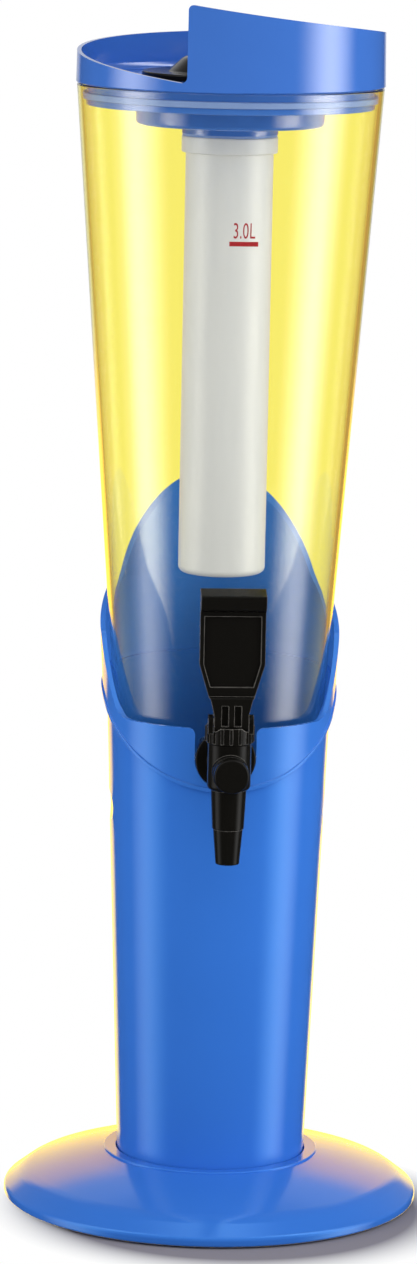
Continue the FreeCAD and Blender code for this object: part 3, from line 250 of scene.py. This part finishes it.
black_rubber = moulded_rubber("black moulded rubber", "#161617", "#2A2A2B", 0.72)
pad_count = 6
_, pad_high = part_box("foot_pads")
pad_radius = 7.6 * MM
pad_height = pad_high.z
pad_ring = pad_high.x - pad_radius
groove = 0.5 * MM
edge = 0.6 * MM
pad_profile = [(0, groove)]
for inner in (pad_radius * 0.3, pad_radius * 0.6):
    pad_profile += [(inner, groove), (inner + edge, 0), (inner + 3 * edge, 0), (inner + 4 * edge, groove)]
pad_profile += [(pad_radius - edge, 0), (pad_radius, edge), (pad_radius, pad_height), (0, pad_height)]
pads = new_object(
    "rubber_pads",
    ring_of("rubber_pads", lathe("pad", pad_profile, 40), pad_count, pad_ring, 0, black_rubber),
    black_rubber, "stand",
)
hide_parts("foot_pads")

# ---------------------------------------------------------------- column
# The column is a second blue ABS shell, flared towards the top, with a seat plate for the tank
# inside it. Four stainless pan-head screws with cross recesses hold it to the foot from below.

finish_nodes(blue_abs, "column", "tank_seat")


def turned_steel(name, tone, roughness):
    """Stainless steel, turned or drawn: fine uneven tool marks and a soft metal gloss."""
    material, tree, place = new_material(name)
    marks = noise(tree, place, 1.2 * MM, 3)
    shader = add(tree, "ShaderNodeBsdfPrincipled", {
        "Base Color": colour(tone), "Metallic": 1.0,
        "Roughness": between(tree, marks, roughness * 0.7, roughness * 1.4),
        "Normal": bumped(tree, marks, 0.01 * MM, 0.4),
    })
    return surfaced(material, tree, shader)


steel = turned_steel("stainless steel", "#B9BABD", 0.28)


def cut_from(name, mesh, cutter):
    """Mesh with the cutter's shape taken out of it."""
    blank = bpy.data.objects.new(name, mesh)
    tool = bpy.data.objects.new(name + "_cutter", cutter)
    for shape in (blank, tool):
        bpy.context.scene.collection.objects.link(shape)
    cut = blank.modifiers.new("cut", "BOOLEAN")
    cut.object = tool
    cut.solver = "EXACT"
    seen = blank.evaluated_get(bpy.context.evaluated_depsgraph_get())
    made = bpy.data.meshes.new_from_object(seen)
    for shape in (blank, tool):
        bpy.data.objects.remove(shape)
    return made


def cross_prism(name, reach, half_width, low, high):
    """Upright prism with a plus-shaped outline."""
    arm = [(reach, -half_width), (reach, half_width), (half_width, half_width)]
    quarter_turns = ((1, 0), (0, 1), (-1, 0), (0, -1))
    outline = [(x * c - y * s, x * s + y * c) for c, s in quarter_turns for x, y in arm]
    count = len(outline)
    corners = [(x, y, z) for z in (low, high) for x, y in outline]
    sides = [(i, (i + 1) % count, (i + 1) % count + count, i + count) for i in range(count)]
    foot, top = tuple(range(count))[::-1], tuple(range(count, 2 * count))
    mesh = bpy.data.meshes.new(name)
    mesh.from_pydata(corners, [], sides + [foot, top])
    return mesh


screw_low, screw_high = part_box("column_screws")
screw_count = 4
head_radius = 3.4 * MM
head_height = 2.2 * MM
shank_radius = 1.6 * MM
screw_length = screw_high.z - screw_low.z
pitch = 1.3 * MM
thread_depth = 0.35 * MM
root_radius = shank_radius - thread_depth
screw_profile = [(0, 0), (head_radius * 0.6, 0), (head_radius * 0.88, 0.35 * MM), (head_radius, 1.0 * MM),
                 (head_radius, head_height), (shank_radius, head_height)]
turns = int((screw_length - head_height - 2 * pitch) / pitch)
for k in range(turns):
    foot = head_height + (k + 0.6) * pitch
    screw_profile += [(root_radius, foot), (root_radius, foot + pitch * 0.45),
                      (shank_radius, foot + pitch * 0.7)]
screw_profile += [(root_radius, screw_length - pitch), (0, screw_length)]
recess = cross_prism("cross_recess", reach=1.9 * MM, half_width=0.45 * MM, low=-0.2 * MM, high=1.3 * MM)
screw = cut_from("screw", lathe("screw", screw_profile, 32), recess)
screws = new_object(
    "pan_head_screws",
    ring_of("pan_head_screws", screw, screw_count, screw_high.x - head_radius, screw_low.z, steel),
    steel, "stand",
)
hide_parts("column_screws")

# ---------------------------------------------------------------- tank holder
# The holder is a third blue ABS shell, pressed over the column's top. Its raked foot ends in a
# small bead, and its tall back stands up behind the tank.


def scuffed_inside(material, low, high, roughness):
    """Dulls a shell's inside more and more from a height down to a lower one, where the tank rubs."""
    tree = material.node_tree
    shader = next(node for node in tree.nodes if node.type == "BSDF_PRINCIPLED")
    place = add(tree, "ShaderNodeTexCoord").outputs["Object"]
    outward = add(tree, "ShaderNodeVectorMath", {0: place, 1: (1, 1, 0)}, operation="MULTIPLY").outputs[0]
    true_normal = add(tree, "ShaderNodeNewGeometry").outputs["Normal"]
    facing = add(tree, "ShaderNodeVectorMath", {0: outward, 1: true_normal},
                 operation="DOT_PRODUCT").outputs["Value"]
    inside = add(tree, "ShaderNodeMath", {0: facing, 1: 0.0}, operation="LESS_THAN").outputs[0]
    height = add(tree, "ShaderNodeSeparateXYZ", {"Vector": place}).outputs["Z"]
    depth = add(tree, "ShaderNodeMapRange", {"Value": height, "From Min": high, "From Max": low})
    rubbed = add(tree, "ShaderNodeMath", {0: inside, 1: depth.outputs["Result"]},
                 operation="MULTIPLY").outputs[0]
    plain = shader.inputs["Roughness"].links[0].from_socket
    dulled = add(tree, "ShaderNodeMix", {0: rubbed, 2: plain, 3: roughness})
    tree.links.new(dulled.outputs[0], shader.inputs["Roughness"])
    return material


holder_abs = moulded_abs("rubbed blue moulded ABS", "#3874CE", "#346DC4", "#6C9CBE", 0.12)
finish_nodes(scuffed_inside(holder_abs, low=280 * MM, high=350 * MM, roughness=0.6), "tank_holder")

# ---------------------------------------------------------------- tank
# The tank is moulded from clear SAN, which has a slight warm cast where light passes through it.
# Its volume mark is screen-printed on the front in red.


def clear_san(name, tint, glint):
    """Clear SAN: smooth and colourless but for a faint warm cast, and lamps shine through it."""
    material, tree, place = new_material(name)
    shader = add(tree, "ShaderNodeBsdfPrincipled", {
        "Base Color": colour(tint), "Roughness": 0.02, "IOR": 1.5, "Transmission Weight": 1.0,
        "Normal": bumped(tree, noise(tree, place, 40 * MM, 1), 0.05 * MM, 0.3),
        "Specular Tint": colour(glint),
    })
    passing = add(tree, "ShaderNodeBsdfTransparent")
    path = add(tree, "ShaderNodeLightPath")
    lit = add(tree, "ShaderNodeMath", {0: path.outputs["Is Shadow Ray"], 1: path.outputs["Is Diffuse Ray"]},
              operation="MAXIMUM")
    both = add(tree, "ShaderNodeMixShader", {0: lit.outputs[0], 1: shader.outputs["BSDF"],
                                             2: passing.outputs["BSDF"]})
    return surfaced(material, tree, both)


finish_nodes(clear_san("clear moulded SAN", "#FFFCEE", "#A6A6A6"), "tank")

# The mark is bent round the tank's wall, a little to the right of the tap.


def printed_ink(name, tone, deep):
    """Screen-printed ink: flat and slightly uneven in cover."""
    material, tree, place = new_material(name)
    shade = mixed(tree, noise(tree, place, 1.5 * MM, 2), tone, deep)
    shader = add(tree, "ShaderNodeBsdfPrincipled", {"Base Color": shade, "Roughness": 0.45})
    return surfaced(material, tree, shader)


tank_low, tank_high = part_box("tank")
tank_foot_radius = 52.4 * MM
ink_clearance = 0.02 * MM


def tank_radius(height):
    """Outer radius of the tank's wall at a height."""
    share = (height - tank_low.z) / (tank_high.z - tank_low.z)
    return tank_foot_radius + (tank_high.x - tank_foot_radius) * share


def wrap_on_tank(mesh, height, turn):
    """Moves a flat print in the XY plane onto the tank's wall, with its own Z as thickness."""
    for vertex in mesh.vertices:
        across, up, out = vertex.co
        radius = tank_radius(height + up) + ink_clearance + out
        angle = turn + across / tank_radius(height)
        vertex.co = (radius * math.sin(angle), -radius * math.cos(angle), height + up)


ink = printed_ink("red printing ink", "#A81A22", "#8E141C")
ink_thickness = 0.05 * MM
mark_height = 516.6 * MM
mark_turn = math.radians(2.3)
line_length = 14.8 * MM
line_width = 2.4 * MM
digit_size = 11.4 * MM
digit_narrowing = 0.56
digit_rise = 2.9 * MM
line = bpy.data.meshes.new("mark_line")
bm = bmesh.new()
bmesh.ops.create_grid(bm, x_segments=12, y_segments=1, size=0.5)
bmesh.ops.scale(bm, vec=(line_length, line_width, 1), verts=bm.verts)
bm.to_mesh(line)
bm.free()
wrap_on_tank(line, mark_height, mark_turn)
new_object("volume_line", line, ink, "tank")
digits = bpy.data.curves.new("mark_digits", "FONT")
digits.body = "3.0L"
digits.size = digit_size
digits.space_character = 1.06
digits.align_x = "CENTER"
digits.extrude = ink_thickness
writer = bpy.data.objects.new("mark_digits", digits)
bpy.context.scene.collection.objects.link(writer)
lettering = bpy.data.meshes.new_from_object(writer.evaluated_get(bpy.context.evaluated_depsgraph_get()))
bpy.data.objects.remove(writer)
lettering.transform(Matrix.Diagonal((digit_narrowing, 1, 1, 1)))
lettering.transform(Matrix.Translation((0, digit_rise, 0)))
wrap_on_tank(lettering, mark_height, mark_turn)
new_object("volume_digits", lettering, ink, "tank")

# ---------------------------------------------------------------- lid
# The lid is moulded in a more polished blue ABS, with a rim that climbs once round in a spiral. A
# ring of milky silicone seals its skirt to the tank, and a second one seals the ice tube to it.

finish_nodes(moulded_abs("polished blue moulded ABS", "#3F70C4", "#3A69BA", "#FFFFFF", 0.1), "lid")


def moulded_silicone(name, tone, deep, roughness):
    """Milky silicone: soft and waxy, with a cloudy colour and a dusty skin."""
    material, tree, place = new_material(name)
    shader = add(tree, "ShaderNodeBsdfPrincipled", {
        "Base Color": mixed(tree, noise(tree, place, 12 * MM, 3), deep, tone),
        "Roughness": roughness,
        "Normal": bumped(tree, noise(tree, place, 0.6 * MM, 2), 0.02 * MM, 0.3),
        "IOR": 1.42,
    })
    return surfaced(material, tree, shader)


milky_silicone = moulded_silicone("milky silicone", "#7D97CC", "#6F8AC2", 0.45)
finish_nodes(milky_silicone, "lid_gasket", "ice_tube_gasket")

# ---------------------------------------------------------------- ice tube
# The ice tube is blow-moulded from milky polypropylene and closed at its foot. It looks soft and
# pale, with faint streaks along its length.


def milky_polypropylene(name, tone, deep, roughness):
    """Milky PP: pale and waxy, with faint long streaks along the tube."""
    material, tree, place = new_material(name)
    along = add(tree, "ShaderNodeMapping", {"Vector": place, "Scale": (1, 1, 0.1)}).outputs["Vector"]
    streak = noise(tree, along, 7 * MM, 2)
    shader = add(tree, "ShaderNodeBsdfPrincipled", {
        "Base Color": mixed(tree, streak, deep, tone),
        "Roughness": roughness,
        "Normal": bumped(tree, streak, 0.03 * MM, 0.3),
        "IOR": 1.49,
    })
    return surfaced(material, tree, shader)


finish_nodes(milky_polypropylene("milky polypropylene", "#CDD0D5", "#C4C8CF", 0.33), "ice_tube")

# ---------------------------------------------------------------- ice cap
# A black ABS cap closes the lid's well, with a raised and dished middle to lift it by.

black_abs = moulded_abs("black moulded ABS", "#141312", "#0F0E0D", "#B0B0B0", 0.2, 0.08)
finish_nodes(black_abs, "ice_cap")

# ---------------------------------------------------------------- tap
# The tap's body, nozzle, cap, bonnet, lever, stem and nut are moulded from black acetal, with painted
# highlights along their edges. Its seals and plunger are black rubber, and its pin and spring are stainless
# steel.


def edge_highlit_acetal(name, tone, edge_highlight, glint, roughness):
    """Black acetal: glossy, with a painted highlight along its edges, patchy like wear, where the rounded
    normal leaves the true one.
    """
    material, tree, place = new_material(name)
    wear_and_highlight_patches = noise(tree, place, 5 * MM, 4)
    true_normal = add(tree, "ShaderNodeNewGeometry").outputs["Normal"]
    rounded = add(tree, "ShaderNodeBevel", {"Radius": 0.5 * MM}, samples=6)
    agree = add(tree, "ShaderNodeVectorMath", {0: true_normal, 1: rounded.outputs["Normal"]},
                operation="DOT_PRODUCT")
    # Painted highlight: the pale edge colour's share grows where the rounded normal leaves the true one.
    near_edge = add(tree, "ShaderNodeMapRange", {"Value": agree.outputs["Value"], "From Min": 0.99,
                                                 "From Max": 0.8, "To Max": 2.0})
    edge_highlight_share = add(tree, "ShaderNodeMath", {0: near_edge.outputs["Result"], 1: wear_and_highlight_patches}, operation="MULTIPLY")
    shader = add(tree, "ShaderNodeBsdfPrincipled", {
        "Base Color": mixed(tree, edge_highlight_share.outputs[0], tone, edge_highlight),
        "Roughness": between(tree, wear_and_highlight_patches, roughness * 0.8, roughness * 1.5),
        "IOR": 1.48, "Specular Tint": colour(glint), "Specular IOR Level": 0.12,
    })
    return surfaced(material, tree, shader)


# The pale #7A7772 along the tap's edges is a painted highlight.
black_acetal = edge_highlit_acetal("black acetal", "#12110F", "#7A7772", "#8A8A8A", 0.16)
finish_nodes(black_acetal, "tap_body", "tap_nozzle", "tap_front_cap", "tap_bonnet", "tap_lever", "tap_stem",
             "tap_nut")
finish_nodes(steel, "tap_pin")
finish_nodes(black_rubber, "tap_stem_seal", "tap_washer_outer", "tap_washer_inner", "tap_plunger")

# The coil spring is a copy of the model's spring, hung on the tank's body, with a mesh of its own.

coil_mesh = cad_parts["tap_spring"].data.copy()
coil_mesh.transform(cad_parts["tap_spring"].matrix_world)
coil = new_object("coil_spring", coil_mesh, steel, "tank")
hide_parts("tap_spring")
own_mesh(coil)

# ---------------------------------------------------------------- studio
# A pale floor in a plain bright room, with a tall soft lamp on each side and one above. Clear and
# glossy pieces have surroundings of their own, which the card and the world below give them.


def pale_floor(name, tone, painted_shadow, clear_radius, shift):
    """Pale floor with a painted shadow: a darker round patch under the foot, moved by a shift, that runs
    into the white background.
    """
    material, tree, place = new_material(name)
    moved = add(tree, "ShaderNodeVectorMath", {0: place, 1: shift}, operation="ADD")
    away = add(tree, "ShaderNodeVectorMath", {0: moved.outputs["Vector"]}, operation="LENGTH")
    fade = add(tree, "ShaderNodeMapRange", {"Value": away.outputs["Value"], "From Min": clear_radius * 0.75,
                                            "From Max": clear_radius, "To Min": 0.0, "To Max": 1.0})
    path = add(tree, "ShaderNodeLightPath")
    seen = add(tree, "ShaderNodeMath", {0: path.outputs["Is Camera Ray"], 1: fade.outputs["Result"]},
               operation="MULTIPLY")
    matt = add(tree, "ShaderNodeBsdfDiffuse", {"Color": mixed(tree, fade.outputs["Result"], painted_shadow, tone)})
    white = add(tree, "ShaderNodeEmission", {"Color": (1, 1, 1, 1), "Strength": 1.0})
    both = add(tree, "ShaderNodeMixShader", {0: seen.outputs[0], 1: matt.outputs["BSDF"],
                                             2: white.outputs["Emission"]})
    return surfaced(material, tree, both)


floor_radius = 1.5
floor_mesh = bpy.data.meshes.new("floor")
bm = bmesh.new()
bmesh.ops.create_circle(bm, cap_ends=True, segments=96, radius=floor_radius)
bm.to_mesh(floor_mesh)
bm.free()
floor = bpy.data.objects.new("floor", floor_mesh)
bpy.context.scene.collection.objects.link(floor)
# The darker #8A868C patch, centred a little towards the tap, is a painted shadow.
floor_mesh.materials.append(pale_floor("pale floor", "#EDEDEC", "#8A868C", clear_radius=0.13,
                                       shift=(-0.01, 0.03, 0)))
floor.visible_glossy = False
floor.visible_transmission = False


def soft_lamp(name, turn, distance, height, width, tall, power):
    """Soft lamp that faces the tower from a turn round it, 0 being in front."""
    lamp = bpy.data.lights.new(name, "AREA")
    lamp.shape = "RECTANGLE"
    lamp.size = width
    lamp.size_y = tall
    lamp.energy = power
    stand = bpy.data.objects.new(name, lamp)
    angle = math.radians(turn)
    stand.location = (distance * math.sin(angle), -distance * math.cos(angle), height)
    stand.rotation_euler = (tower_middle - stand.location).to_track_quat("-Z", "Y").to_euler()
    stand.visible_camera = False
    stand.visible_glossy = False
    stand.visible_transmission = False
    bpy.context.scene.collection.objects.link(stand)


tower_middle = Vector((0, 0, 0.32))
soft_lamp("left lamp", turn=-70, distance=1.5, height=0.7, width=0.9, tall=1.3, power=13)
soft_lamp("right lamp", turn=62, distance=1.5, height=0.7, width=0.9, tall=1.3, power=18)
soft_lamp("top lamp", turn=10, distance=1.5, height=1.6, width=1.2, tall=1.0, power=6)

# A low warm card stands behind the tower. Only glossy pieces show it: yellow at its foot, and
# orange above.


def warm_card(name, high, half_width, power):
    """Glowing card material, yellow below and orange above, that fades out at its top and sides."""
    material, tree, place = new_material(name)
    spot = add(tree, "ShaderNodeSeparateXYZ", {"Vector": place}).outputs
    aside = add(tree, "ShaderNodeMath", {0: spot["X"]}, operation="ABSOLUTE").outputs[0]
    warmer = add(tree, "ShaderNodeMapRange", {"Value": spot["Z"], "From Min": 0.0, "From Max": high * 0.6})
    tone = mixed(tree, warmer.outputs["Result"], "#FFD840", "#FFC040")
    top = add(tree, "ShaderNodeMapRange", {"Value": spot["Z"], "From Min": high, "From Max": high * 0.65},
              interpolation_type="SMOOTHSTEP")
    side = add(tree, "ShaderNodeMapRange", {"Value": aside, "From Min": half_width,
                                            "From Max": half_width * 0.75}, interpolation_type="SMOOTHSTEP")
    level = add(tree, "ShaderNodeMath", {0: top.outputs["Result"], 1: side.outputs["Result"]},
                operation="MULTIPLY")
    clear = add(tree, "ShaderNodeBsdfTransparent")
    glowing = add(tree, "ShaderNodeEmission", {"Color": tone, "Strength": power})
    both = add(tree, "ShaderNodeMixShader", {0: level.outputs[0], 1: clear.outputs["BSDF"],
                                             2: glowing.outputs["Emission"]})
    return surfaced(material, tree, both)


card_low, card_high, card_half, card_back = -0.3, 0.42, 0.36, 0.5
card_corners = [(-card_half, card_back, card_low), (card_half, card_back, card_low),
                (card_half, card_back, card_high), (-card_half, card_back, card_high)]
card_mesh = bpy.data.meshes.new("warm_card")
card_mesh.from_pydata(card_corners, [], [(0, 1, 2, 3)])
card_mesh.materials.append(warm_card("warm card", card_high, card_half, power=3.0))
card = bpy.data.objects.new("warm_card", card_mesh)
bpy.context.scene.collection.objects.link(card)
card.visible_camera = False
card.visible_diffuse = False
card.visible_transmission = False
card.visible_shadow = False

# Glossy pieces show a dark room with a broad glow on each side, a pale veil behind and a bright
# patch high in front. Rays through clear pieces show a warm sheet, which is darker at its sides.
# All other pieces are lit by an even white, and the background itself is white.

world = bpy.data.worlds.new("studio")
bpy.context.scene.world = world
world.use_nodes = True
room = world.node_tree
room.nodes.clear()
look = add(room, "ShaderNodeTexCoord").outputs["Generated"]
split = add(room, "ShaderNodeSeparateXYZ", {"Vector": look}).outputs
forward = add(room, "ShaderNodeMath", {0: split["Y"], 1: -1.0}, operation="MULTIPLY").outputs[0]
turn = add(room, "ShaderNodeMath", {0: split["X"], 1: forward}, operation="ARCTAN2").outputs[0]
aside = add(room, "ShaderNodeMath", {0: split["X"]}, operation="ABSOLUTE").outputs[0]


def shade_of(value, start, end, low, high):
    """Smooth change from one number to another as a value runs between two limits."""
    changed = add(room, "ShaderNodeMapRange", {"Value": value, "From Min": start, "From Max": end,
                                               "To Min": low, "To Max": high},
                  interpolation_type="SMOOTHSTEP")
    return changed.outputs["Result"]


def joined(first, second, operation):
    """Two numbers put together."""
    return add(room, "ShaderNodeMath", {0: first, 1: second}, operation=operation).outputs[0]


def glow(middle, reach, level):
    """Broad upright glow round a turn in degrees, 0 being in front."""
    off = joined(turn, math.radians(middle), "SUBTRACT")
    size = add(room, "ShaderNodeMath", {0: off}, operation="ABSOLUTE").outputs[0]
    across = shade_of(size, 0.0, math.radians(reach), level, 0.0)
    return joined(across, shade_of(split["Z"], -0.6, -0.2, 0.0, 1.0), "MULTIPLY")


left_glow = glow(middle=-82, reach=30, level=5.8)
right_glow = glow(middle=74, reach=30, level=8.2)
upward = shade_of(split["Z"], -0.05, 0.2, 0.05, 0.4)
glows = joined(joined(left_glow, right_glow, "ADD"), upward, "ADD")
veil = joined(shade_of(aside, 0.3, 0.42, 1.0, 0.0), shade_of(split["Z"], 0.66, 0.8, 0.6, 0.0),
              "MULTIPLY")
veil = joined(veil, shade_of(split["Y"], 0.3, 0.6, 0.0, 1.0), "MULTIPLY")
above = joined(shade_of(split["Z"], 0.62, 0.8, 0.0, 3.0), shade_of(split["Y"], -0.25, 0.0, 1.0, 0.0),
               "MULTIPLY")
glows = joined(glows, joined(veil, above, "ADD"), "ADD")
gloss = add(room, "ShaderNodeBackground", {"Color": (1, 1, 1, 1), "Strength": glows}).outputs[0]
off_middle = joined(shade_of(aside, 0.15, 0.5, 0.0, 1.0), shade_of(split["Y"], 0.6, 0.8, 0.0, 1.0),
                    "MULTIPLY")
sheet_tone = mixed(room, off_middle, "#FFF880", "#E0B050")
sheet = add(room, "ShaderNodeBackground", {"Color": sheet_tone, "Strength": 1.0}).outputs[0]
path = add(room, "ShaderNodeLightPath").outputs
lit = add(room, "ShaderNodeBackground", {"Color": (1, 1, 1, 1), "Strength": 0.42}).outputs[0]
white = add(room, "ShaderNodeBackground", {"Color": (1, 1, 1, 1), "Strength": 1.0}).outputs[0]
mirrored = joined(path["Is Glossy Ray"], path["Is Transmission Ray"], "MAXIMUM")
soft = add(room, "ShaderNodeMixShader", {0: mirrored, 1: lit, 2: gloss}).outputs[0]
never_mirrored = joined(path["Glossy Depth"], 0.5, "LESS_THAN")
unmirrored = joined(never_mirrored, shade_of(split["Y"], 0.0, 0.3, 0.0, 1.0), "MAXIMUM")
through = joined(path["Is Transmission Ray"], unmirrored, "MULTIPLY")
inside = add(room, "ShaderNodeMixShader", {0: through, 1: soft, 2: sheet}).outputs[0]
shown = add(room, "ShaderNodeMixShader", {0: path["Is Camera Ray"], 1: inside, 2: white}).outputs[0]
add(room, "ShaderNodeOutputWorld", {"Surface": shown})
bpy.context.scene.view_settings.view_transform = "Standard"

# The camera stands a long way in front, a little to the left and well above the table, and is
# tipped slightly to one side.

camera_distance = 2.734
camera_height = 0.763
camera_side = math.radians(-4)
pitch = math.radians(-9.515)
yaw = math.radians(3.872)
tip = math.radians(1.12)
lens_data = bpy.data.cameras.new("camera")
lens_data.sensor_fit = "VERTICAL"
lens_data.sensor_height = 36
lens_data.lens = 149.8
lens_data.clip_end = 50
camera = bpy.data.objects.new("camera", lens_data)
camera.location = (camera_distance * math.sin(camera_side), -camera_distance * math.cos(camera_side),
                   camera_height)
ahead = Vector((math.sin(yaw) * math.cos(pitch), math.cos(yaw) * math.cos(pitch), math.sin(pitch)))
camera.rotation_mode = "QUATERNION"
camera.rotation_quaternion = ahead.to_track_quat("-Z", "Y") @ Quaternion((0, 0, 1), tip)
bpy.context.scene.collection.objects.link(camera)
bpy.context.scene.camera = camera

# ---------------------------------------------------------------- last update

bpy.context.view_layer.update()
